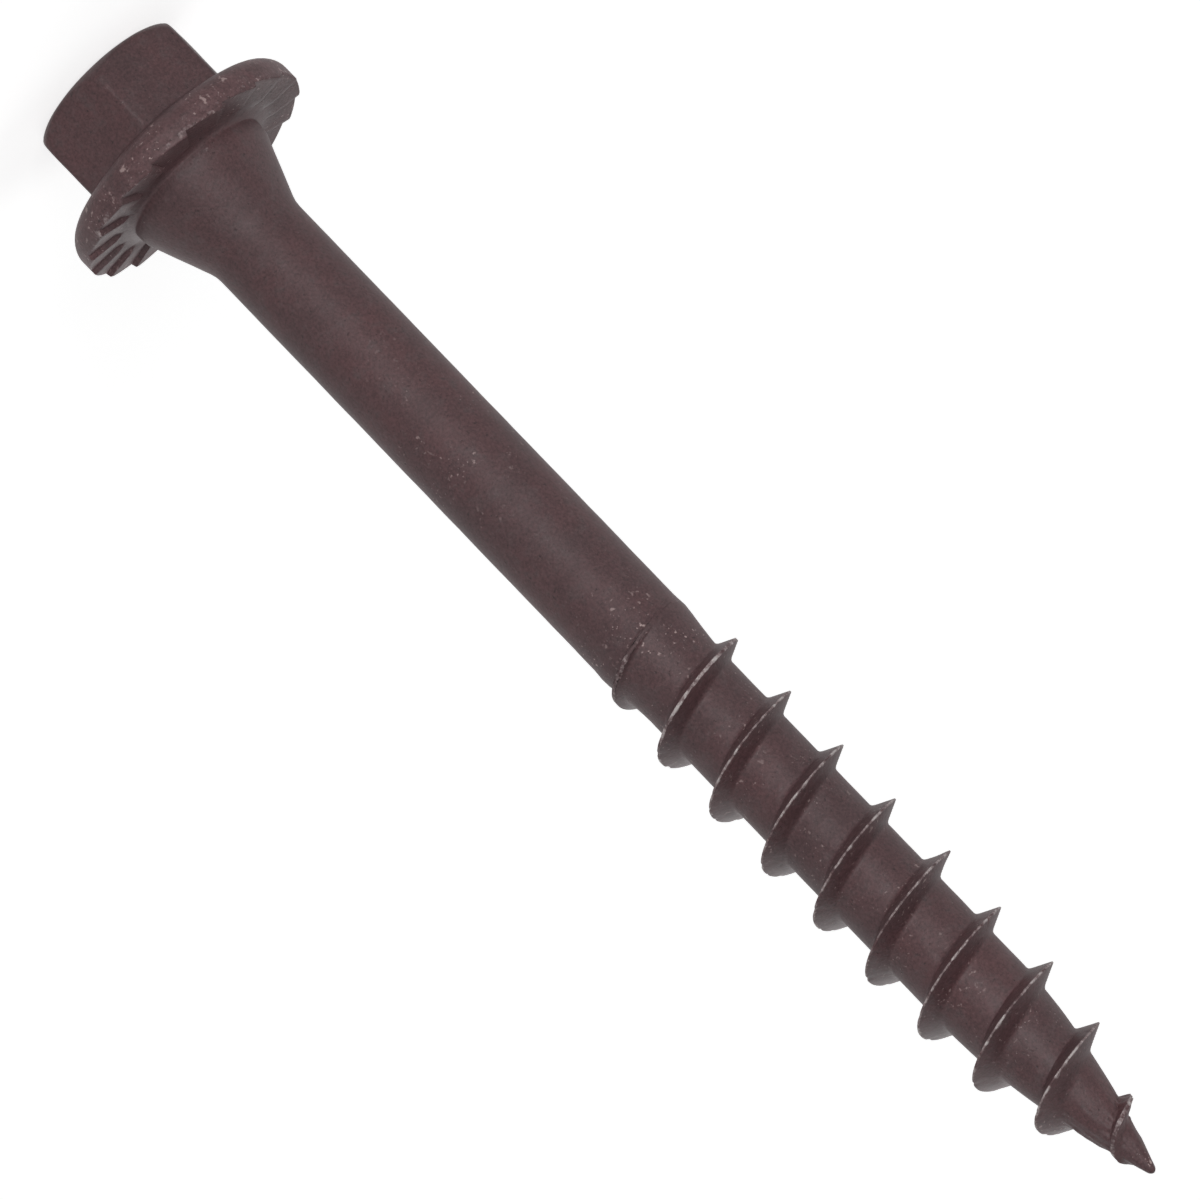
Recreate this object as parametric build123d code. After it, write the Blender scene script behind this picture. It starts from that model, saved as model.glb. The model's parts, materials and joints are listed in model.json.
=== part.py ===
from build123d import *
import os
from math import cos, pi, radians, sin, sqrt, tan

# Flanged hex lag screw for timber: hex head, domed flange with locking serrations
# underneath, conical collar, plain shank, coarse right-hand thread and gimlet point.
# It is cold headed and thread rolled from one steel blank, so it is one solid.
#
# Millimetres. The origin is the centre of the flat head top and +Z runs along the
# screw to its point, so it stands on its head. Two wrench flats face +X and -X.

# Hex head
HEX_ACROSS_FLATS = 12.6
CROWN_FLAT_RADIUS = 4.9
CROWN_BREAK_RADIUS = 6.3
CROWN_BREAK_DEPTH = 0.42
CROWN_DEPTH = 1.45

# Flange and its serrations
HEAD_HEIGHT = 10.0
FLANGE_DIAMETER = 20.4
FLANGE_START_RADIUS = 6.2
FLANGE_START_Z = 6.35
FLANGE_SLOPE = 17.0
SHOULDER_RADIUS = 1.6
SHOULDER_STEPS = 4
SERRATION_COUNT = 18
SERRATION_DEPTH = 0.38
SERRATION_LAND = 1.6
SERRATION_WALL = 1.2
SERRATION_START = 0.0

# Collar and shank
COLLAR_RADIUS = 6.35
COLLAR_LENGTH = 6.4
COLLAR_FOOT = 0.45
SHANK_DIAMETER = 7.9
SHANK_END_Z = 57.2
BEAD_HEIGHT = 0.08
BEAD_RISE = 0.9
NECK_Z = 60.9
ROOT_START_Z = 63.0

# Threaded core and gimlet point
LENGTH_UNDER_HEAD = 101.6
ROOT_DIAMETER = 7.2
POINT_START_Z = 94.0
POINT_LENGTH = 18.4
POINT_FULLNESS = 1.7
NOSE_RADIUS = 0.2
NOSE_HEIGHT = 0.28

# Thread ridge
THREAD_PITCH = 5.5
THREAD_DEPTH_FIRST = 1.52
THREAD_DEPTH_LAST = 1.74
FLANK_ANGLE = 26.0
CREST_WIDTH = 0.12
BLUNT_CREST_WIDTH = 0.4
ROOT_BLEND = 0.17
LEAST_HEIGHT = 0.1
RIDGE_SINK = 0.5
ZERO_ANGLE_CREST_Z = 59.78
THREAD_START_Z = 57.4
RUN_IN_LENGTH = 10.0
RUN_IN_SINK = 0.25
FADE_START_Z = 103.0
FADE_LENGTH = 7.3
THREAD_END_Z = 110.6
TURN_STEPS = 12

# Worked out from the sizes above
FLANGE_RADIUS = FLANGE_DIAMETER / 2
SHANK_RADIUS = SHANK_DIAMETER / 2
ROOT_RADIUS = ROOT_DIAMETER / 2
TIP_Z = HEAD_HEIGHT + LENGTH_UNDER_HEAD


def turned(outline):
    """Solid of revolution about the screw's axis, from a closed (radius, z) outline."""
    return revolve(Plane.XZ * make_face(outline), Axis.Z)


def hex_head():
    """Hexagon whose corners are turned away in two steps around the flat top."""
    corner_radius = HEX_ACROSS_FLATS / sqrt(3)
    height = HEAD_HEIGHT - SHOULDER_RADIUS
    prism = extrude(RegularPolygon(corner_radius, 6, rotation=30), height)
    crown = Polyline(
        (0, 0),
        (CROWN_FLAT_RADIUS, 0),
        (CROWN_BREAK_RADIUS, CROWN_BREAK_DEPTH),
        (corner_radius, CROWN_DEPTH),
        (corner_radius, height),
        (0, height),
        close=True,
    )
    return prism & turned(crown)


def flange():
    """Washer face: a shallow cone, a rounded shoulder and a short upright rim."""
    drop = (FLANGE_RADIUS - FLANGE_START_RADIUS) * tan(radians(FLANGE_SLOPE))
    start = (FLANGE_START_RADIUS, FLANGE_START_Z)
    shoulder = (FLANGE_RADIUS, FLANGE_START_Z + drop)
    rim = (FLANGE_RADIUS, HEAD_HEIGHT)
    rounded = FilletPolyline(start, shoulder, rim, radius=SHOULDER_RADIUS)
    bend = rounded.edges().filter_by(GeomType.CIRCLE)[0]
    bands = [bend @ (step / SHOULDER_STEPS) for step in range(SHOULDER_STEPS + 1)]
    outline = Polyline(start, *bands, rim, (0, HEAD_HEIGHT), (0, FLANGE_START_Z), close=True)
    return turned(outline)


def serration_cut():
    """One tooth space. Its steep wall bites when the screw is turned out, and the ramp
    climbs back to the bearing face so that it slides when the screw is driven."""
    space = 360 / SERRATION_COUNT - SERRATION_LAND

    def across(radius):
        wall_foot = (-radius * radians(SERRATION_WALL), -SERRATION_DEPTH)
        ramp_top = (-radius * radians(space), 0)
        plane = Plane(origin=(radius, 0, HEAD_HEIGHT), x_dir=(0, 1, 0), z_dir=(1, 0, 0))
        return plane * make_face(Polyline((0, 0), wall_foot, ramp_top, close=True))

    return loft([across(COLLAR_RADIUS - 1), across(FLANGE_RADIUS + 1)], ruled=True)


def serrated_flange():
    """The flange with its ring of radial saw teeth pressed into the underside."""
    first = Rot(0, 0, SERRATION_START) * serration_cut()
    step = 360 / SERRATION_COUNT
    return flange() - [Rot(0, 0, step * number) * first for number in range(SERRATION_COUNT)]


def core_radius(z):
    """Radius of the bare core: parallel, then easing down to the point."""
    share = max(0.0, (z - POINT_START_Z) / POINT_LENGTH)
    return ROOT_RADIUS * (1 - share**POINT_FULLNESS)


def stem():
    """Collar, shank, thread core and point, turned as one outline."""
    sunk_z = HEAD_HEIGHT - SERRATION_DEPTH - 1
    slope = (COLLAR_RADIUS - SHANK_RADIUS) / COLLAR_LENGTH
    foot_base = (COLLAR_RADIUS + COLLAR_FOOT, HEAD_HEIGHT - SERRATION_DEPTH)
    foot_side = (COLLAR_RADIUS - slope * COLLAR_FOOT, HEAD_HEIGHT + COLLAR_FOOT)
    collar_end = (SHANK_RADIUS, HEAD_HEIGHT + COLLAR_LENGTH)
    shank_end = (SHANK_RADIUS, SHANK_END_Z)
    bead = (SHANK_RADIUS + BEAD_HEIGHT, SHANK_END_Z + BEAD_RISE)
    neck = (ROOT_RADIUS + BEAD_HEIGHT, NECK_Z)
    core_start = (ROOT_RADIUS, ROOT_START_Z)
    taper_length = TIP_Z - NOSE_HEIGHT - POINT_START_Z
    stations = [POINT_START_Z + taper_length * share for share in (0, 0.3, 0.55, 0.8, 1)]
    taper = [(core_radius(z), z) for z in stations]
    outline = Polyline(
        (0, sunk_z),
        (COLLAR_RADIUS + COLLAR_FOOT, sunk_z),
        foot_base,
        foot_side,
        collar_end,
        shank_end,
        bead,
        neck,
        core_start,
        *taper,
        (NOSE_RADIUS, TIP_Z),
        (0, TIP_Z),
        close=True,
    )
    return turned(outline)


def crest_radius(z):
    """Radius of the thread crest: it climbs out of the shank and fades at the point."""
    along = (z - THREAD_START_Z) / (THREAD_END_Z - THREAD_START_Z)
    depth = THREAD_DEPTH_FIRST + (THREAD_DEPTH_LAST - THREAD_DEPTH_FIRST) * along
    fade = max(0.0, (z - FADE_START_Z) / FADE_LENGTH)
    full = core_radius(z) + depth * (1 - fade)
    left = max(0.0, 1 - (z - THREAD_START_Z) / RUN_IN_LENGTH)
    start = SHANK_RADIUS - RUN_IN_SINK
    return full - (full - start) * left**3


def crest_width(z):
    """The crest is blunt where the thread starts and on its last turn."""
    start_share = max(0.0, 1 - (z - THREAD_START_Z) / RUN_IN_LENGTH)
    end_share = min(1.0, max(0.0, (z - FADE_START_Z) / THREAD_PITCH))
    return CREST_WIDTH + (BLUNT_CREST_WIDTH - CREST_WIDTH) * max(start_share, end_share)


def ridge_section(z):
    """Half section of the ridge at one height, as (radius, half width) from the crest
    down one flank, round the root blend and straight down into the core."""
    core = core_radius(z)
    crest = crest_radius(z)
    height = max(crest - core, LEAST_HEIGHT)
    blend = ROOT_BLEND * height
    half_crest = crest_width(z) / 2
    half_foot = half_crest + (height - blend) * tan(radians(FLANK_ANGLE))
    half_root = half_foot + 1.5 * blend
    return [
        (crest, half_crest),
        (crest - height + blend, half_foot),
        (crest - height - blend, half_root),
        (core * RIDGE_SINK, half_root),
    ]


def ridge_outline(z):
    """The whole ridge section at one height: crest first, once round, in space."""
    angle = 2 * pi * (z - ZERO_ANGLE_CREST_Z) / THREAD_PITCH
    half = ridge_section(z)
    around = half + [(radius, -width) for radius, width in reversed(half)]
    return [Vector(r * cos(angle), r * sin(angle), z + width) for r, width in around]


def ridge_turn(start_z, end_z):
    """One turn of ridge: ruled strips between helical lines, closed by flat ends."""
    parameters = [start_z + (end_z - start_z) * step / TURN_STEPS for step in range(TURN_STEPS + 1)]
    outlines = [ridge_outline(z) for z in parameters]
    lines = [Edge.make_spline(list(line), parameters=parameters) for line in zip(*outlines)]
    strips = [
        Face.make_surface_from_curves(lines[place - 1], lines[place])
        for place in range(len(lines))
    ]
    ends = [
        Face(Wire.make_polygon(outline, close=True))
        for outline in (outlines[0], outlines[-1])
    ]
    return Solid(Shell(strips + ends))


def thread_ridge():
    """Right-hand ridge as a chain of turns, each sunk into the core."""
    count = round((THREAD_END_Z - THREAD_START_Z) / THREAD_PITCH)
    length = (THREAD_END_Z - THREAD_START_Z) / count
    starts = [THREAD_START_Z + length * number for number in range(count)]
    return [ridge_turn(start, start + length) for start in starts]


screw = (stem() + thread_ridge()) + (hex_head() + serrated_flange())

os.makedirs("parts", exist_ok=True)
export_step(screw, "parts/lag_screw.step")
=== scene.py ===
import json
from math import cos, pi, radians, sin, tan

import bpy
import numpy as np
from mathutils import Matrix, Vector, noise


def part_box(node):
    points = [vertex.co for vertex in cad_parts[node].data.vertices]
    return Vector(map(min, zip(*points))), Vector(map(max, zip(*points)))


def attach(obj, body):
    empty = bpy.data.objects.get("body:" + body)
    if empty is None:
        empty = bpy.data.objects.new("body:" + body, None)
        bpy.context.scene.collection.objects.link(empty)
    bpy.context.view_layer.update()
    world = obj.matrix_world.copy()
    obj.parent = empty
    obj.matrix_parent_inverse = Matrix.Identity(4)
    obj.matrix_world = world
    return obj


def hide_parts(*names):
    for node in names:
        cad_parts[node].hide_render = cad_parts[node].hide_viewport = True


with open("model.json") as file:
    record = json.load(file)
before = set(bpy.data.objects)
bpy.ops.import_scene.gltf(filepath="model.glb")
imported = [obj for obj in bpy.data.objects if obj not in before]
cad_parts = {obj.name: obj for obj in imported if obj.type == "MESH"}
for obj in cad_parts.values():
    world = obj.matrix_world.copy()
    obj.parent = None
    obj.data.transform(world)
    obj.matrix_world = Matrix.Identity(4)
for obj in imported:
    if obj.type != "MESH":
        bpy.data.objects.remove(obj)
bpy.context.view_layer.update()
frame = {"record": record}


# Blank -------------------------------------------------------------------------------
# One length of steel wire, cold headed: crowned head, sloping flange, conical collar and
# plain shank have a single turned outline. The head is still round at this stage.
# Sizes are in millimetres, and heights are measured up from the flat of the head.
MM = 0.001
mounts = {mount["name"]: mount["pos_m"] for mount in frame["record"]["mounts"]}
highest_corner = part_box("lag_screw")[1]
HALF_ACROSS_FLATS = round(mounts["wrench_flat_a"][0] / MM, 3)
HALF_ACROSS_CORNERS = HALF_ACROSS_FLATS / cos(pi / 6)
HEAD_HEIGHT = round(mounts["bearing_face"][2] / MM, 3)
CROWN_START = 4.7
CROWN_RISE = 0.1229
CROWN_CURVE = 2.614
FLANGE_RADIUS = round(highest_corner.x / MM, 3)
FLANGE_ANGLE = radians(17)
FLANGE_START_RADIUS = 6.2
FLANGE_START_Z = 6.35
SHOULDER_RADIUS = 1.6
SHOULDER_CENTRE_RADIUS = FLANGE_RADIUS - SHOULDER_RADIUS
SLOPE_END_RADIUS = SHOULDER_CENTRE_RADIUS + SHOULDER_RADIUS * sin(FLANGE_ANGLE)
RIM_RINGS = (9.0, 9.25, 9.42)
RIM_EDGE = 0.14
FACE_INNER_RADIUS = 6.9
TOOTH_DEPTH = 0.38
COLLAR_RADIUS = 6.35
COLLAR_TAPER = 0.375
COLLAR_FOOT = 0.31
FOOT_LOW_Z = HEAD_HEIGHT - TOOTH_DEPTH
FOOT_HIGH_Z = 10.45
COLLAR_END_Z = 16.4
COLLAR_BEND = 0.5
COLLAR_BEND_RISE = 0.05
SHANK_RADIUS = 3.95
SHANK_END_Z = 56.9
BLANK_STEPS = 360
# Shares of the way along at which rings crowd near an edge that is rounded later.
END_SHARES = (0.04, 0.1, 0.18, 0.3)
# Vertices closer than this are merged where a turn closes.
SEAM_GAP = 0.002 * MM


def crown_z(radius):
    """The top of the head: flat, then curving down towards the wrench flats."""
    return CROWN_RISE * np.maximum(radius - CROWN_START, 0) ** CROWN_CURVE


def slope_z(radius):
    """The sloping top of the flange."""
    return FLANGE_START_Z + (radius - FLANGE_START_RADIUS) * tan(FLANGE_ANGLE)


def foot_radius(z):
    """The collar near its foot, where a small fillet runs out on to the flange."""
    left = np.clip((FOOT_HIGH_Z - z) / (FOOT_HIGH_Z - FOOT_LOW_Z), 0, 1)
    return COLLAR_RADIUS - COLLAR_TAPER * (z - HEAD_HEIGHT) + COLLAR_FOOT * left**2


def between(start, end, count):
    """Evenly spaced values after start, up to and including end."""
    return [start + (end - start) * (step + 1) / count for step in range(count)]


def crowded(start, end, crowd, count):
    """Values from start to end, with close ones at both ends where an edge is rounded."""
    near = [share * crowd for share in END_SHARES]
    middle = between(near[-1], 1 - near[-1], count)
    far = [1 - share for share in reversed(near[:-1])]
    return [start + (end - start) * share for share in near + middle + far + [1]]


def head_outline():
    """(radius, z) points over the crown, down the side and out along the flange's slope."""
    corner = HALF_ACROSS_CORNERS
    side = crowded(float(crown_z(corner)), slope_z(corner), crowd=0.5, count=12)
    points = [(0.0, 0.0)] + [(radius, 0.0) for radius in between(0, CROWN_START, 4)]
    points += [(r, float(crown_z(r))) for r in crowded(CROWN_START, corner, crowd=1, count=8)]
    points += [(corner, z) for z in side]
    points += [(r, slope_z(r)) for r in crowded(corner, SLOPE_END_RADIUS, crowd=1, count=6)]
    return points


def rim_outline():
    """(radius, z) points round the shoulder, up the rim and over its small rounded edge."""
    centre_z = slope_z(SLOPE_END_RADIUS) + SHOULDER_RADIUS * cos(FLANGE_ANGLE)
    points = []
    for angle in between(FLANGE_ANGLE - pi / 2, 0, count=9):
        out = SHOULDER_CENTRE_RADIUS + SHOULDER_RADIUS * cos(angle)
        points.append((out, centre_z + SHOULDER_RADIUS * sin(angle)))
    points += [(FLANGE_RADIUS, z) for z in RIM_RINGS]
    for angle in between(radians(-10), radians(90), count=4):
        inset = RIM_EDGE * (1 - cos(angle))
        points.append((FLANGE_RADIUS - inset, HEAD_HEIGHT - RIM_EDGE * (1 - sin(angle))))
    return points


def shank_outline():
    """(radius, z) points across the bearing face, up the collar and along the shank."""
    face = between(FLANGE_RADIUS - RIM_EDGE, FACE_INNER_RADIUS, count=14)
    foot = between(HEAD_HEIGHT, FOOT_HIGH_Z, count=6)
    collar = between(FOOT_HIGH_Z, COLLAR_END_Z - COLLAR_BEND, count=8)
    shank = between(COLLAR_END_Z + COLLAR_BEND, SHANK_END_Z, count=36)
    points = [(radius, HEAD_HEIGHT) for radius in face]
    points += [(float(foot_radius(z)), z) for z in foot + collar]
    points += [(SHANK_RADIUS + COLLAR_BEND_RISE, COLLAR_END_Z)]
    points += [(SHANK_RADIUS, z) for z in [COLLAR_END_Z + COLLAR_BEND] + shank]
    return points


def draw_outline(name, points):
    """A chain of edges through (radius, z) points, drawn on from one vertex, to be turned."""
    bpy.ops.object.select_all(action="DESELECT")
    start = (points[0][0] * MM, 0, points[0][1] * MM)
    bpy.ops.mesh.primitive_plane_add(size=MM, location=start)
    outline = bpy.context.object
    outline.name = name
    bpy.ops.object.transform_apply(location=True, rotation=True, scale=True)
    bpy.ops.object.mode_set(mode="EDIT")
    bpy.ops.mesh.select_all(action="SELECT")
    bpy.ops.mesh.merge(type="CENTER")
    for (radius, z), (next_radius, next_z) in zip(points, points[1:]):
        step = ((next_radius - radius) * MM, 0, (next_z - z) * MM)
        bpy.ops.mesh.extrude_vertices_move(TRANSFORM_OT_translate={"value": step})
    bpy.ops.object.mode_set(mode="OBJECT")
    return outline


def places(piece):
    """The vertices of a piece as an array, in millimetres."""
    flat = np.empty(len(piece.data.vertices) * 3)
    piece.data.vertices.foreach_get("co", flat)
    return flat.reshape(-1, 3) / MM


def put(piece, points):
    """Moves the vertices of a piece to these places, in millimetres."""
    piece.data.vertices.foreach_set("co", (points * MM).ravel())
    piece.data.update()


def polar(points):
    """Radius and angle of each point about the screw's axis."""
    return np.hypot(points[:, 0], points[:, 1]), np.arctan2(points[:, 1], points[:, 0])


def from_polar(radius, angle, z):
    """Points from radius, angle and height."""
    return np.stack([radius * np.cos(angle), radius * np.sin(angle), z], axis=1)


screw = draw_outline("screw", head_outline() + rim_outline() + shank_outline())
bpy.ops.object.mode_set(mode="EDIT")
bpy.ops.mesh.select_all(action="SELECT")
bpy.ops.mesh.spin(steps=BLANK_STEPS, angle=2 * pi, center=(0, 0, 0), axis=(0, 0, 1))
bpy.ops.mesh.select_all(action="SELECT")
bpy.ops.mesh.remove_doubles(threshold=SEAM_GAP)
bpy.ops.object.mode_set(mode="OBJECT")


# Wrench flats ------------------------------------------------------------------------
# A hexagon die presses six flats on the round head. They stop at the crown, and run out
# on the flange in a small soft hollow. The upright corners come out slightly rounded.
FLAT_DIRECTIONS = [side * pi / 3 for side in range(6)]
CORNER_SHARPNESS = 80
EDGE_SOFTNESS = 0.55
SOFTENING_ROUNDS = 12
# Places closer than this count as the same.
SAME = 0.0005


def flat_radius(angle):
    """Distance from the axis to the wrench flats, with rounded corners between them."""
    facing = [np.maximum(np.cos(angle - way), 0) ** CORNER_SHARPNESS for way in FLAT_DIRECTIONS]
    return HALF_ACROSS_FLATS / sum(facing) ** (1 / CORNER_SHARPNESS)


def press_flats(points):
    """Crown, side and flange top of the round head, drawn in to the hexagon."""
    radius, angle = polar(points)
    z = points[:, 2]
    corner = HALF_ACROSS_CORNERS
    low, high = crown_z(corner), slope_z(corner)
    in_round = radius <= corner + SAME
    on_crown = in_round & (z <= low + SAME) & (radius > CROWN_START)
    on_side = in_round & (z > low + SAME) & (z < high + SAME)
    on_slope = ~in_round & (radius < SLOPE_END_RADIUS + SAME) & (z < slope_z(SLOPE_END_RADIUS) + SAME)
    flat = flat_radius(angle)
    across = (radius - CROWN_START) / (corner - CROWN_START)
    crown_r = CROWN_START + across * (flat - CROWN_START)
    along = (z - low) / (high - low)
    side_z = crown_z(flat) + along * (slope_z(flat) - crown_z(flat))
    out = (radius - corner) / (SLOPE_END_RADIUS - corner)
    slope_r = flat + out * (SLOPE_END_RADIUS - flat)
    parts = [on_crown, on_side, on_slope]
    new_radius = np.select(parts, [crown_r, flat, slope_r], radius)
    new_z = np.select(parts, [crown_z(crown_r), side_z, slope_z(slope_r)], z)
    return from_polar(new_radius, angle, new_z)


def select_only(piece, wanted):
    """Opens a piece in edit mode with only these vertices selected."""
    bpy.ops.object.mode_set(mode="EDIT")
    bpy.ops.mesh.select_mode(type="VERT")
    bpy.ops.mesh.select_all(action="DESELECT")
    bpy.ops.object.mode_set(mode="OBJECT")
    piece.data.vertices.foreach_set("select", wanted)
    bpy.ops.object.mode_set(mode="EDIT")


put(screw, press_flats(places(screw)))
radii, angles = polar(places(screw))
levels = places(screw)[:, 2]
flats = flat_radius(angles)
crown_edge = np.hypot(radii - flats, levels - crown_z(flats)) < EDGE_SOFTNESS
flange_hollow = np.hypot(radii - flats, levels - slope_z(flats)) < EDGE_SOFTNESS
select_only(screw, crown_edge | flange_hollow)
bpy.ops.mesh.vertices_smooth(factor=0.5, repeat=SOFTENING_ROUNDS)
bpy.ops.object.mode_set(mode="OBJECT")


# Locking teeth -----------------------------------------------------------------------
# Eighteen saw teeth coined in the underside of the flange, from the collar to the rim. Each
# has a steep wall that bites when the screw is turned out, and a long ramp that slides.
TOOTH_COUNT = 18
TOOTH_SPACE = 2 * pi / TOOTH_COUNT
WALL_ANGLE = radians(1.2)
LAND_ANGLE = radians(1.6)
FACE_EDGE_Z = 9.7
RUN_OUT_START = 6.8
RUN_OUT_END = 8.0
# The angle between two columns of vertices.
COLUMN = 2 * pi / BLANK_STEPS


def smooth_share(value, start, end):
    """0 before start, 1 after end, and an even curve between them."""
    share = np.clip((value - start) / (end - start), 0, 1)
    return share * share * (3 - 2 * share)


def tooth_drop(angle):
    """How far the bearing face lies below its lands at an angle round the flange."""
    along = np.mod(-angle, TOOTH_SPACE)
    ramp = (TOOTH_SPACE - LAND_ANGLE - along) / (TOOTH_SPACE - LAND_ANGLE - WALL_ANGLE)
    return TOOTH_DEPTH * np.clip(np.minimum(along / WALL_ANGLE, ramp), 0, 1)


def crisp_teeth(angle):
    """Turns the column of vertices nearest each wall foot and each ramp top right on to it."""
    along = np.mod(-angle, TOOTH_SPACE)
    at_foot = np.abs(along - COLUMN) < COLUMN / 4
    at_top = np.abs(along - (TOOTH_SPACE - 2 * COLUMN)) < COLUMN / 4
    return angle - at_foot * (WALL_ANGLE - COLUMN) - at_top * (2 * COLUMN - LAND_ANGLE)


def coin_teeth(points):
    """Sinks the bearing face between the lands; rim edge and collar foot follow it."""
    radius, angle = polar(points)
    z = points[:, 2]
    flange = (z > RIM_RINGS[0] - SAME) & (z < FOOT_HIGH_Z - SAME)
    angle = np.where(flange, crisp_teeth(angle), angle)
    full = smooth_share(radius, RUN_OUT_START, RUN_OUT_END)
    drop = TOOTH_DEPTH / 2 + (tooth_drop(angle) - TOOTH_DEPTH / 2) * full
    coined = flange & (z > FACE_EDGE_Z)
    on_face = coined & (radius > FACE_INNER_RADIUS - SAME)
    on_foot = coined & ~on_face
    foot_share = (FOOT_HIGH_Z - z) / (FOOT_HIGH_Z - HEAD_HEIGHT)
    new_z = np.select([on_face, on_foot], [z - drop, z - drop * foot_share], z)
    new_radius = np.where(on_foot, foot_radius(new_z), radius)
    return from_polar(new_radius, angle, new_z)


put(screw, coin_teeth(places(screw)))


# Thread ------------------------------------------------------------------------------
# A coarse right-hand thread rolled on the blank, which leaves a slim core and a deep thin
# ridge. It climbs out of the shank, runs on down the point and fades before the tip. It is
# turned as a plain tube whose rows of vertices follow the helix, and then raised.
PITCH = 5.5
CREST_START_Z = 59.78
CORE_RADIUS = 3.6
POINT_START_Z = 94.0
POINT_LENGTH = 18.4
POINT_CURVE = 1.7
THINNEST = 0.01
NECK_START_Z = 57.9
NECK_END_Z = 62.6
BEAD_Z = 58.1
BEAD_LENGTH = 0.7
BEAD_HEIGHT = 0.08
THREAD_START_Z = 57.4
THREAD_END_Z = 110.6
FIRST_DEPTH = 1.52
LAST_DEPTH = 1.74
FLANK_SLOPE = tan(radians(26))
CREST_WIDTH = 0.12
BLUNT_WIDTH = 0.4
RUN_IN_LENGTH = 10.0
RUN_IN_SINK = 0.25
RUN_IN_LIMIT = 1.2
FADE_START_Z = 103.0
FADE_LENGTH = 7.3
ROOT_SOFTNESS = 0.3
ROOT_REACH = 0.35
# Rows of vertices on one side of a crest, by their distance along the axis.
CREST_ROW = 0.06
FLANK_ROWS = [0.18, 0.32, 0.46, 0.6, 0.72, 0.84, 0.98, 1.16]
CORE_ROWS = [1.5, 2.1, PITCH / 2]
TURN_STEPS = 180
TURNS_BEFORE = 2
TURNS = 12
TIP_Z = round(highest_corner.z / MM, 3)
NOSE_LENGTH = 0.7
CUT_START_Z = 57.1
CUT_END_Z = TIP_Z - NOSE_LENGTH
# Vertices closer than this to a cut are taken to lie on it.
CUT_CLEAN = 0.0001 * MM


def swell(z, centre, length):
    """1 at one height, fading smoothly to 0 within about twice this length of it."""
    return np.exp(-(((z - centre) / length) ** 2))


def plain_core(z):
    """The core without its neck: parallel, then the full curve of the gimlet point."""
    share = np.clip((z - POINT_START_Z) / POINT_LENGTH, 0, 1)
    return CORE_RADIUS * (1 - share**POINT_CURVE)


def core_radius(z):
    """The core with the neck down from the shank and the low bead that rolling raises."""
    neck = (SHANK_RADIUS - CORE_RADIUS) * (1 - smooth_share(z, NECK_START_Z, NECK_END_Z))
    bead = BEAD_HEIGHT * swell(z, BEAD_Z, BEAD_LENGTH)
    return np.maximum(plain_core(z) + neck + bead, THINNEST)


def crest_radius(z):
    """The crest of the ridge, with its run-in and its fade."""
    along = (z - THREAD_START_Z) / (THREAD_END_Z - THREAD_START_Z)
    depth = FIRST_DEPTH + (LAST_DEPTH - FIRST_DEPTH) * along
    fade = np.clip((z - FADE_START_Z) / FADE_LENGTH, 0, 1)
    full = plain_core(z) + depth * (1 - fade)
    left = np.clip(1 - (z - THREAD_START_Z) / RUN_IN_LENGTH, 0, RUN_IN_LIMIT)
    return full - (full - SHANK_RADIUS + RUN_IN_SINK) * left**3


def crest_half_width(z):
    """Sharp crest, blunt where the thread starts and on its last turn."""
    start = np.clip(1 - (z - THREAD_START_Z) / RUN_IN_LENGTH, 0, 1)
    end = np.clip((z - FADE_START_Z) / PITCH, 0, 1)
    return (CREST_WIDTH + (BLUNT_WIDTH - CREST_WIDTH) * np.maximum(start, end)) / 2


def helix_offset(angle, z):
    """Distance along the axis from the nearest crest line."""
    crest_at = CREST_START_Z + PITCH * angle / (2 * pi)
    return np.mod(z - crest_at + PITCH / 2, PITCH) - PITCH / 2


def raise_ridge(points):
    """Spreads the rows of the tube over crest, flanks and roots, and lifts them into place."""
    radius, angle = polar(points)
    z = points[:, 2]
    offset = helix_offset(angle, z)
    distance = np.abs(offset)
    crest_z = z - offset
    crest = crest_radius(crest_z)
    half_crest = crest_half_width(crest_z)
    height = np.maximum(crest - core_radius(crest_z), 0)
    reach = half_crest + height * FLANK_SLOPE + ROOT_REACH
    near = np.minimum(distance / FLANK_ROWS[-1], 1) * reach
    beyond = np.maximum(distance - FLANK_ROWS[-1], 0) / (PITCH / 2 - FLANK_ROWS[-1])
    on_crest = distance < (CREST_ROW + FLANK_ROWS[0]) / 2
    moved = np.where(on_crest, half_crest, near + beyond * (PITCH / 2 - reach))
    new_z = crest_z + np.sign(offset) * moved
    ridge = crest - np.maximum(moved - half_crest, 0) / FLANK_SLOPE
    base = core_radius(new_z)
    share = np.clip(0.5 + (ridge - base) / (2 * ROOT_SOFTNESS), 0, 1)
    blend = base + (ridge - base) * share + ROOT_SOFTNESS * share * (1 - share)
    return from_polar(blend, angle, new_z)


def cut_square(z, below, above):
    """Cuts the piece in edit mode at a height, and takes off what lies below or above."""
    bpy.ops.mesh.select_all(action="SELECT")
    bpy.ops.mesh.bisect(
        plane_co=(0, 0, z * MM),
        plane_no=(0, 0, 1),
        clear_inner=below,
        clear_outer=above,
        threshold=CUT_CLEAN,
    )


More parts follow.
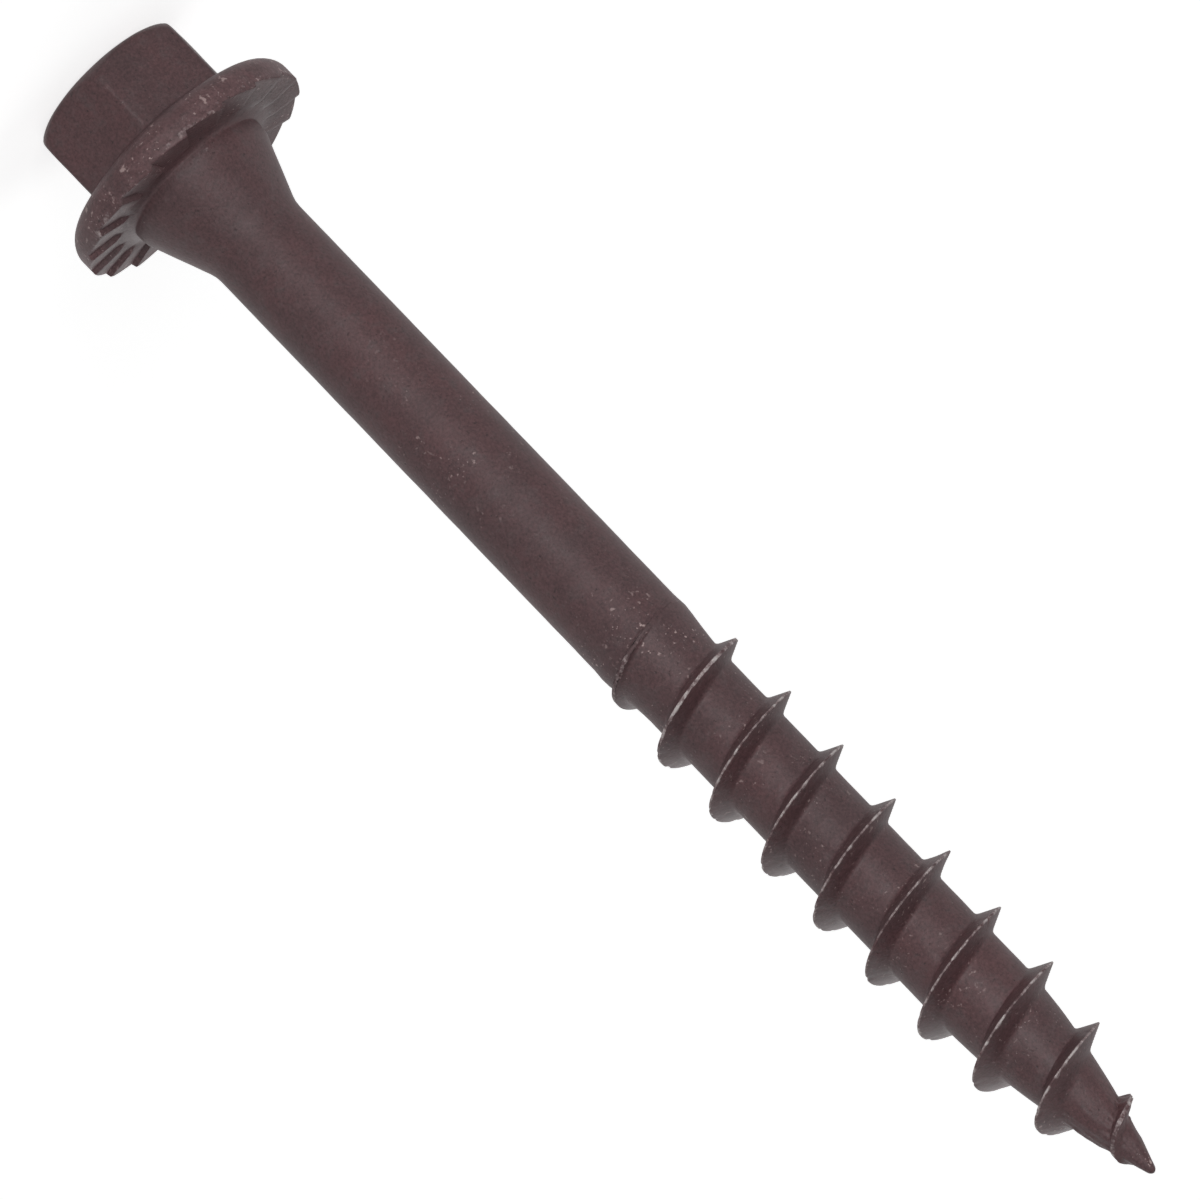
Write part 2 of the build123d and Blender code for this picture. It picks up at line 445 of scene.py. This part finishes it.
half_rows = [CREST_ROW] + FLANK_ROWS + CORE_ROWS
rows = [-row for row in reversed(half_rows)] + half_rows
first_crest_z = CREST_START_Z - TURNS_BEFORE * PITCH
thread = draw_outline("thread", [(CORE_RADIUS, first_crest_z + row) for row in rows])
bpy.ops.object.modifier_add(type="SCREW")
turning = thread.modifiers[-1]
turning.axis = "Z"
turning.angle = 2 * pi
turning.screw_offset = PITCH * MM
turning.iterations = TURNS
turning.steps = TURN_STEPS
turning.render_steps = TURN_STEPS
turning.use_merge_vertices = False
bpy.ops.object.modifier_apply(modifier=turning.name)
bpy.ops.object.mode_set(mode="EDIT")
bpy.ops.mesh.select_all(action="SELECT")
bpy.ops.mesh.remove_doubles(threshold=SEAM_GAP)
bpy.ops.object.mode_set(mode="OBJECT")
put(thread, raise_ridge(places(thread)))
bpy.ops.object.mode_set(mode="EDIT")
cut_square(CUT_START_Z, below=True, above=False)
cut_square(CUT_END_Z, below=False, above=True)
bpy.ops.object.mode_set(mode="OBJECT")


# Point -------------------------------------------------------------------------------
# The tip beyond the last of the thread: a short blunt nose, rounded off by the coating.
# Each ring is given by its radius and by how far it lies below the tip.
NOSE_RINGS = [(0.39, 0.4), (0.33, 0.25), (0.24, 0.12), (0.13, 0.04)]


def at_level(piece, z):
    """Which vertices of a piece lie at one height."""
    return np.abs(places(piece)[:, 2] - z) < SAME


select_only(thread, at_level(thread, CUT_END_Z))
last_radius = float(core_radius(CUT_END_Z))
last_z = CUT_END_Z
for radius, below_tip in NOSE_RINGS:
    z = TIP_Z - below_tip
    bpy.ops.mesh.extrude_edges_move(TRANSFORM_OT_translate={"value": (0, 0, (z - last_z) * MM)})
    share = radius / last_radius
    bpy.ops.transform.resize(value=(share, share, 1), center_override=(0, 0, z * MM))
    last_radius = radius
    last_z = z
bpy.ops.mesh.extrude_edges_move(TRANSFORM_OT_translate={"value": (0, 0, (TIP_Z - last_z) * MM)})
bpy.ops.mesh.merge(type="COLLAPSE")
bpy.ops.object.mode_set(mode="OBJECT")


# One piece ---------------------------------------------------------------------------
# Thread and shank are the same steel: the two rings are bridged, and the whole screw is
# one closed skin with its faces outward. Edges sharper than CREASE stay sharp.
CREASE = radians(38)

bpy.ops.object.select_all(action="DESELECT")
thread.select_set(True)
screw.select_set(True)
bpy.context.view_layer.objects.active = screw
bpy.ops.object.join()
select_only(screw, at_level(screw, SHANK_END_Z) | at_level(screw, CUT_START_Z))
bpy.ops.mesh.bridge_edge_loops()
bpy.ops.mesh.select_all(action="SELECT")
bpy.ops.mesh.normals_make_consistent(inside=False)
bpy.ops.object.mode_set(mode="OBJECT")
bpy.ops.object.shade_smooth_by_angle(angle=CREASE)
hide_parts("lag_screw")
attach(screw, "root")


# Knocks ------------------------------------------------------------------------------
# Tumbled loose with others in its box, the screw is slightly uneven all over: small dents
# in the core, nicks and a burr on the crest, and a battered last turn.
# A dent is degrees round the screw, height, size and depth; a depth below 0 stands out.
DENTS = [
    (-91, 8.9, 0.5, 0.1), (-72, 9.3, 0.6, 0.14), (-112, 9.2, 0.5, 0.12), (-140, 9.0, 0.7, 0.1),
    (-97, 67.3, 0.5, 0.1), (-120, 73.2, 0.6, 0.12), (-75, 79.4, 0.5, 0.1), (-86, 90.2, 0.6, 0.12),
    (-60, 100.2, 0.8, 0.12), (-68, 101.1, 0.5, -0.1), (-95, 106.6, 0.6, 0.12), (30, 70.1, 0.6, 0.12),
    (95, 84.2, 0.7, 0.12), (140, 96.0, 0.6, 0.1), (-175, 58.4, 0.7, 0.08), (60, 33.0, 0.8, 0.06),
]
# A nick is degrees, size and depth. Each turn of the crest has them all, shifted a little.
NICKS = [
    (-100, 0.5, 0.1), (-62, 0.4, 0.08), (179, 0.35, 0.08), (12, 0.5, 0.12), (-20, 0.4, 0.07),
    (75, 0.5, 0.12), (128, 0.45, 0.1), (-150, 0.4, 0.08), (-42, 0.3, 0.06),
]
NICKED_TURNS = 9
NICK_SHIFT = 23
CREST_BAND = 0.5
BURR_PLACE = (179, 84.51, 0.45)
BURR_RISE = 0.24
UNEVENNESS = 0.018
UNEVEN_LUMP = 1.6
UNEVEN_RADII = (1, 3)
BATTERING = 0.13
BATTERED_LUMP = 0.45
BATTERED_LEVELS = (103.5, 105.5)
BATTERED_RADII = (0.3, 1.2)
THREAD_LIMIT = 6
SEED_STEP = (7.3, 3.1, 5.7)


def nearness(points, degrees, z, size):
    """1 at a place on the skin and 0 beyond its size, with a soft edge."""
    radius, angle = polar(points)
    turned_by = np.mod(angle - radians(degrees) + pi, 2 * pi) - pi
    away = np.hypot(turned_by * radius, points[:, 2] - z)
    return np.clip(1 - (away / size) ** 2, 0, 1) ** 2


def lumps(points, width, seed):
    """Smooth random values around 0 at these places, in lumps about this wide."""
    shift = Vector([seed * step for step in SEED_STEP])
    return np.array([noise.noise(Vector(point) / width + shift) for point in points])


def knock(points):
    """The skin pushed in or out along its radius by its knocks."""
    radius, angle = polar(points)
    z = points[:, 2]
    push = np.zeros(len(points))
    for degrees, height, size, depth in DENTS:
        push -= depth * nearness(points, degrees, height, size)
    on_crest = (np.abs(helix_offset(angle, z)) < CREST_BAND) & (z > THREAD_START_Z + PITCH)
    for turn in range(NICKED_TURNS):
        for degrees, size, depth in NICKS:
            shifted = degrees + NICK_SHIFT * turn
            height = CREST_START_Z + PITCH * (shifted / 360 + turn + 1)
            push -= on_crest * depth * nearness(points, shifted, height, size)
    push += on_crest * BURR_RISE * nearness(points, *BURR_PLACE)
    all_over = smooth_share(radius, *UNEVEN_RADII)
    push += all_over * UNEVENNESS * lumps(points, UNEVEN_LUMP, seed=1)
    last_turn = smooth_share(z, *BATTERED_LEVELS) * smooth_share(radius, *BATTERED_RADII)
    push += last_turn * BATTERING * lumps(points, BATTERED_LUMP, seed=2)
    limit = np.where(z < HEAD_HEIGHT, FLANGE_RADIUS, THREAD_LIMIT)
    return from_polar(np.clip(radius + push, 0, limit), angle, z)


put(screw, knock(places(screw)))


# Coating -----------------------------------------------------------------------------
# A thin baked brown coat over phosphated steel: semi-matt, faintly grainy and mottled
# towards red. It is rubbed through along the crest and the rim, and flecked by handling.
# The rubbed lines along crest, rim, collar foot and hexagon corners also carry a painted
# highlight.
PLAIN_BROWN = (0.065, 0.0355, 0.0378, 1)
RED_BROWN = (0.084, 0.0405, 0.043, 1)
GREY_BROWN = (0.061, 0.0395, 0.041, 1)
HANDLED_BROWN = (0.102, 0.055, 0.058, 1)
# Rubbed coating and bare steel, which along the edges also serve as a painted highlight.
RUBBED_AND_HIGHLIGHT = (0.30, 0.235, 0.235, 1)
BARE_STEEL_AND_HIGHLIGHT = (0.50, 0.46, 0.45, 1)
FLECK = (0.42, 0.31, 0.30, 1)
COATING_ROUGHNESS = 0.54
COATING_SHINE = 0.3
GRAIN_HEIGHT = 0.03 * MM
GRAIN_STRENGTH = 0.9
LEAST_RIDGE = 0.2
# Where the rubbed lines lie, which are partly a painted highlight: crest, rim, collar foot and hexagon
# corners.
CREST_MARGIN = 0.02
RIM_LINE_Z = 9.35
RIM_LINE_WIDTH = 0.12
RIM_WEAR_AND_HIGHLIGHT = 0.52
COLLAR_LINE_LENGTH = 0.12
CORNER_LINE_RADIUS = 7.05
CORNER_LINE_FADE = 0.15
EDGE_WEAR_AND_HIGHLIGHT = 0.3
HEXAGON_END_Z = 6
SLOPE_SCUFF_Z = 6.6
SLOPE_SCUFF_RADIUS = 7.2
SHANK_SCUFF = 0.7
SHANK_SCUFF_Z = 38
SHANK_SCUFF_LENGTH = 7
START_SCUFF = 1.2
START_SCUFF_Z = 59
START_SCUFF_LENGTH = 4.5
TURN_SCUFF = 0.6
TURN_SCUFF_LEVELS = (62, 66)
POINT_SCUFF = 1.4
POINT_SCUFF_LEVELS = (102, 105)
HANDLED_FROM_LEVELS = (6.9, 7.6)
HANDLED_TO_LEVELS = (9.7, 9.95)
HANDLED_RADII = (8.2, 9.6)


def paint(name, values):
    """Stores one value for each vertex of the screw, for the coating to read."""
    layer = screw.data.attributes.new(name, "FLOAT", "POINT")
    layer.data.foreach_set("value", np.ascontiguousarray(values, dtype=np.float32))


def wear_and_highlight(radius, angle, z):
    """How far the coating is rubbed off, with a painted highlight along the same edges: most on a
    sharp crest, less on rim, foot and corners.
    """
    half_crest = crest_half_width(z)
    sharp = np.clip(CREST_WIDTH / 2 / half_crest + 0.5, 0, 1)
    in_thread = (z > THREAD_START_Z) & (z < THREAD_END_Z) & (radius - core_radius(z) > LEAST_RIDGE)
    crest_line = in_thread & (np.abs(helix_offset(angle, z)) < half_crest + CREST_MARGIN)
    rim_line = (z > RIM_LINE_Z) & (z < HEAD_HEIGHT) & (radius > FLANGE_RADIUS - RIM_LINE_WIDTH)
    collar_line = swell(z, FOOT_HIGH_Z, COLLAR_LINE_LENGTH)
    corner_line = (z < HEXAGON_END_Z) * np.clip((radius - CORNER_LINE_RADIUS) / CORNER_LINE_FADE, 0, 1)
    lines = [crest_line * sharp, rim_line * RIM_WEAR_AND_HIGHLIGHT, collar_line * EDGE_WEAR_AND_HIGHLIGHT, corner_line * EDGE_WEAR_AND_HIGHLIGHT]
    return np.maximum.reduce(lines)


def scuffs(radius, z):
    """Where flecks gather: flange slope, mid shank, thread start, thread and above all the point."""
    slope = (z > SLOPE_SCUFF_Z) * (z < HEAD_HEIGHT) * (radius > SLOPE_SCUFF_RADIUS) * 1.0
    shank = SHANK_SCUFF * swell(z, SHANK_SCUFF_Z, SHANK_SCUFF_LENGTH)
    start = START_SCUFF * swell(z, START_SCUFF_Z, START_SCUFF_LENGTH)
    turns = TURN_SCUFF * smooth_share(z, *TURN_SCUFF_LEVELS)
    point = POINT_SCUFF * smooth_share(z, *POINT_SCUFF_LEVELS)
    return np.maximum.reduce([slope, shank, start, turns, point])


def handling(radius, z):
    """The outer flange, which fingers and the bench touch."""
    above_start = smooth_share(z, *HANDLED_FROM_LEVELS)
    below_end = 1 - smooth_share(z, *HANDLED_TO_LEVELS)
    return above_start * below_end * smooth_share(radius, *HANDLED_RADII)


radii, angles = polar(places(screw))
levels = places(screw)[:, 2]
paint("handled", handling(radii, levels))
# Rubbed coating along crest, rim, collar foot and corners, partly a painted highlight.
paint("worn_and_highlight", wear_and_highlight(radii, angles, levels))
paint("scuffed", scuffs(radii, levels))

coating = bpy.data.materials.new("coated_steel")
coating.use_nodes = True
nodes, links = coating.node_tree.nodes, coating.node_tree.links
shader = nodes["Principled BSDF"]
shader.inputs["Roughness"].default_value = COATING_ROUGHNESS
shader.inputs["Specular IOR Level"].default_value = COATING_SHINE
place_on_screw = nodes.new("ShaderNodeTexCoord").outputs["Object"]


def cloud(scale, detail, roughness=0.5):
    """A soft random pattern with that many lumps to the metre."""
    pattern = nodes.new("ShaderNodeTexNoise")
    pattern.inputs["Scale"].default_value = scale
    pattern.inputs["Detail"].default_value = detail
    pattern.inputs["Roughness"].default_value = roughness
    links.new(place_on_screw, pattern.inputs["Vector"])
    return pattern.outputs["Fac"]


def painted(name):
    """A value stored on the screw's vertices."""
    layer = nodes.new("ShaderNodeAttribute")
    layer.attribute_name = name
    return layer.outputs["Fac"]


def sums(operation, first, second):
    """One arithmetic step between two sockets, or a socket and a number."""
    step = nodes.new("ShaderNodeMath")
    step.operation = operation
    for socket, value in zip(step.inputs, (first, second)):
        if isinstance(value, (int, float)):
            socket.default_value = value
        else:
            links.new(value, socket)
    return step.outputs[0]


def spread(value, low, high, to_low=0.0, to_high=1.0):
    """Stretches the part of a value between low and high, and clips the rest."""
    stretch = nodes.new("ShaderNodeMapRange")
    stretch.inputs["From Min"].default_value = low
    stretch.inputs["From Max"].default_value = high
    stretch.inputs["To Min"].default_value = to_low
    stretch.inputs["To Max"].default_value = to_high
    links.new(value, stretch.inputs["Value"])
    return stretch.outputs["Result"]


def blended(share, first, second):
    """Two colours, each a socket or fixed, mixed by a share."""
    mix = nodes.new("ShaderNodeMix")
    mix.data_type = "RGBA"
    links.new(share, mix.inputs["Factor"])
    for socket, value in ((mix.inputs["A"], first), (mix.inputs["B"], second)):
        if isinstance(value, tuple):
            socket.default_value = value
        else:
            links.new(value, socket)
    return mix.outputs["Result"]


def shaded(colour, amount):
    """A colour made lighter or darker by an amount around 1."""
    scaled = nodes.new("ShaderNodeVectorMath")
    scaled.operation = "SCALE"
    links.new(colour, scaled.inputs[0])
    links.new(amount, scaled.inputs["Scale"])
    return scaled.outputs[0]


# The brown itself, mottled in large patches and small ones, and darker in its pits.
grain = cloud(scale=4600, detail=3, roughness=0.65)
mottle = cloud(scale=900, detail=5, roughness=0.65)
patches = cloud(scale=170, detail=4, roughness=0.6)
holes = cloud(scale=2300, detail=3, roughness=0.6)
touches = cloud(scale=600, detail=4, roughness=0.6)
pits = spread(holes, low=0.27, high=0.34, to_low=0.6)
brown = blended(spread(patches, low=0.36, high=0.68), PLAIN_BROWN, RED_BROWN)
brown = blended(spread(mottle, low=0.5, high=0.68, to_high=0.8), brown, GREY_BROWN)
blush = sums("MULTIPLY", painted("handled"), spread(touches, low=0.36, high=0.62))
brown = blended(blush, brown, HANDLED_BROWN)
fine_shade = spread(grain, low=0.3, high=0.7, to_low=0.66, to_high=1.36)
broad_shade = spread(mottle, low=0.3, high=0.7, to_low=0.84, to_high=1.18)
brown = shaded(brown, sums("MULTIPLY", sums("MULTIPLY", fine_shade, broad_shade), pits))

# Rubbed edges, ragged in outline, with bare steel where they are rubbed most. The same lines also
# paint the highlight that the edges catch.
RAGGEDNESS = 3.2
around_zero = sums("SUBTRACT", cloud(scale=1300, detail=4, roughness=0.7), 0.5)
rubbing_and_highlight = sums("ADD", painted("worn_and_highlight"), sums("MULTIPLY", around_zero, RAGGEDNESS))
coat_and_highlight = blended(spread(rubbing_and_highlight, low=0.68, high=1.15, to_high=0.9), brown, RUBBED_AND_HIGHLIGHT)
coat_and_highlight = blended(spread(rubbing_and_highlight, low=1.05, high=1.4, to_high=0.85), coat_and_highlight, BARE_STEEL_AND_HIGHLIGHT)

# Flecks in clusters, fine and coarse, and larger chips on the handled flange.
FLECK_COVER = 0.9
CHIP_COVER = 0.7
clusters = spread(cloud(scale=320, detail=2), low=0.46, high=0.6)
coarse_flecks = spread(cloud(scale=2100, detail=2), low=0.66, high=0.73)
fine_flecks = spread(cloud(scale=4200, detail=1), low=0.68, high=0.76)
flecks = sums("MAXIMUM", coarse_flecks, fine_flecks)
flecks = sums("MULTIPLY", sums("MULTIPLY", clusters, painted("scuffed")), flecks)
chips = spread(cloud(scale=1050, detail=3, roughness=0.6), low=0.615, high=0.67)
chips = sums("MULTIPLY", painted("handled"), chips)
marks = sums("MAXIMUM", sums("MULTIPLY", flecks, FLECK_COVER), sums("MULTIPLY", chips, CHIP_COVER))
links.new(blended(marks, coat_and_highlight, FLECK), shader.inputs["Base Color"])

# The same grain, mottle and pits stand in relief.
MOTTLE_RELIEF = 2.0
PIT_RELIEF = 1.2
relief = nodes.new("ShaderNodeBump")
relief.inputs["Strength"].default_value = GRAIN_STRENGTH
relief.inputs["Distance"].default_value = GRAIN_HEIGHT
skin = sums("ADD", grain, sums("MULTIPLY", mottle, MOTTLE_RELIEF))
skin = sums("ADD", sums("MULTIPLY", pits, PIT_RELIEF), skin)
links.new(skin, relief.inputs["Height"])
links.new(relief.outputs["Normal"], shader.inputs["Normal"])
screw.data.materials.clear()
screw.data.materials.append(coating)


# Floor and light ---------------------------------------------------------------------
# A wide white floor just below the head, plain white surroundings and five square soft
# lamps. Floor and surroundings glow white only where they are seen or mirrored, so the
# floor keeps the shadow, and the lamps do nearly all the lighting.
FLOOR_SIZE = 12
FLOOR_GAP = 0.02 * MM
FLOOR_WHITE = (0.8, 0.8, 0.8, 1)
FLOOR_GLOW = 0.74
SURROUNDING_LIGHT = 0.12
MID_SCREW = (0, 0, 0.05)
HEAD = (0, 0, 0)


def seen_or_mirrored(nodes, links):
    """1 for rays from the camera, gloss or glass, and 0 for rays that carry light."""
    ray = nodes.new("ShaderNodeLightPath").outputs
    share = ray["Is Camera Ray"]
    for kind in ("Is Glossy Ray", "Is Transmission Ray"):
        either = nodes.new("ShaderNodeMath")
        either.operation = "MAXIMUM"
        links.new(share, either.inputs[0])
        links.new(ray[kind], either.inputs[1])
        share = either.outputs[0]
    return share


def floor_paint():
    """Matt white that also glows where it is seen or mirrored."""
    material = bpy.data.materials.new("floor")
    material.use_nodes = True
    nodes, links = material.node_tree.nodes, material.node_tree.links
    nodes.clear()
    out = nodes.new("ShaderNodeOutputMaterial")
    matt = nodes.new("ShaderNodeBsdfDiffuse")
    matt.inputs["Color"].default_value = FLOOR_WHITE
    glow = nodes.new("ShaderNodeEmission")
    level = nodes.new("ShaderNodeMath")
    level.operation = "MULTIPLY"
    level.inputs[1].default_value = FLOOR_GLOW
    both = nodes.new("ShaderNodeAddShader")
    links.new(seen_or_mirrored(nodes, links), level.inputs[0])
    links.new(level.outputs[0], glow.inputs["Strength"])
    links.new(matt.outputs[0], both.inputs[0])
    links.new(glow.outputs[0], both.inputs[1])
    links.new(both.outputs[0], out.inputs["Surface"])
    return material


def softbox(name, place, aim, size, watts):
    """A square soft light at a place, turned to face its aim."""
    bpy.ops.object.light_add(type="AREA", location=place)
    lamp = bpy.context.object
    lamp.name = name
    lamp.data.size = size
    lamp.data.energy = watts
    lamp.rotation_euler = (Vector(aim) - Vector(place)).to_track_quat("-Z", "Y").to_euler()


bpy.ops.object.select_all(action="DESELECT")
bpy.ops.mesh.primitive_plane_add(size=FLOOR_SIZE, location=(0, 0, -FLOOR_GAP))
floor = bpy.context.object
floor.name = "floor"
floor.data.materials.append(floor_paint())

world = bpy.data.worlds.new("studio")
bpy.context.scene.world = world
world.use_nodes = True
nodes, links = world.node_tree.nodes, world.node_tree.links
backdrop = nodes["Background"]
backdrop.inputs["Color"].default_value = (1, 1, 1, 1)
level = nodes.new("ShaderNodeMapRange")
level.inputs["To Min"].default_value = SURROUNDING_LIGHT
links.new(seen_or_mirrored(nodes, links), level.inputs["Value"])
links.new(level.outputs[0], backdrop.inputs["Strength"])

softbox("front_light", (-0.25, -1.7, 0.12), MID_SCREW, size=0.7, watts=29)
softbox("left_light", (-1.8, 0.5, 0.15), MID_SCREW, size=1.2, watts=4.5)
softbox("right_light", (1.8, 0.3, 0.15), MID_SCREW, size=1.2, watts=3.5)
softbox("back_light", (0.9, 1.9, 0.9), MID_SCREW, size=1.8, watts=11)
softbox("top_light", (-0.6, 0.3, 1.6), HEAD, size=1.2, watts=2.5)


# Camera ------------------------------------------------------------------------------
# A long lens more than a metre away looks slightly down on the upright screw. It is
# rolled about its own axis until the screw lies across the frame, head at the upper left.
CAMERA_AZIMUTH = radians(-91)
CAMERA_ELEVATION = radians(12.9)
CAMERA_ROLL = radians(136.098)
CAMERA_DISTANCE = 1.1983
LENS = 500
SENSOR_WIDTH = 36
NEAREST_SEEN = 0.01
FARTHEST_SEEN = 100
AIM_HEIGHT = 53.45 * MM
AIM_SIDE = 0.163 * MM

away = Vector((cos(CAMERA_AZIMUTH), sin(CAMERA_AZIMUTH), 0)) * cos(CAMERA_ELEVATION)
away.z = sin(CAMERA_ELEVATION)
right = Vector((-sin(CAMERA_AZIMUTH), cos(CAMERA_AZIMUTH), 0))
up = away.cross(right)
rolled_right = right * cos(CAMERA_ROLL) + up * sin(CAMERA_ROLL)
rolled_up = up * cos(CAMERA_ROLL) - right * sin(CAMERA_ROLL)
turn = Matrix((rolled_right, rolled_up, away)).transposed().to_4x4()
place = Vector((0, 0, AIM_HEIGHT)) + right * AIM_SIDE + away * CAMERA_DISTANCE
bpy.ops.object.camera_add()
camera = bpy.context.object
camera.data.lens = LENS
camera.data.sensor_width = SENSOR_WIDTH
camera.data.clip_start = NEAREST_SEEN
camera.data.clip_end = FARTHEST_SEEN
camera.matrix_world = Matrix.Translation(place) @ turn
bpy.context.scene.camera = camera
bpy.context.scene.view_settings.view_transform = "Standard"
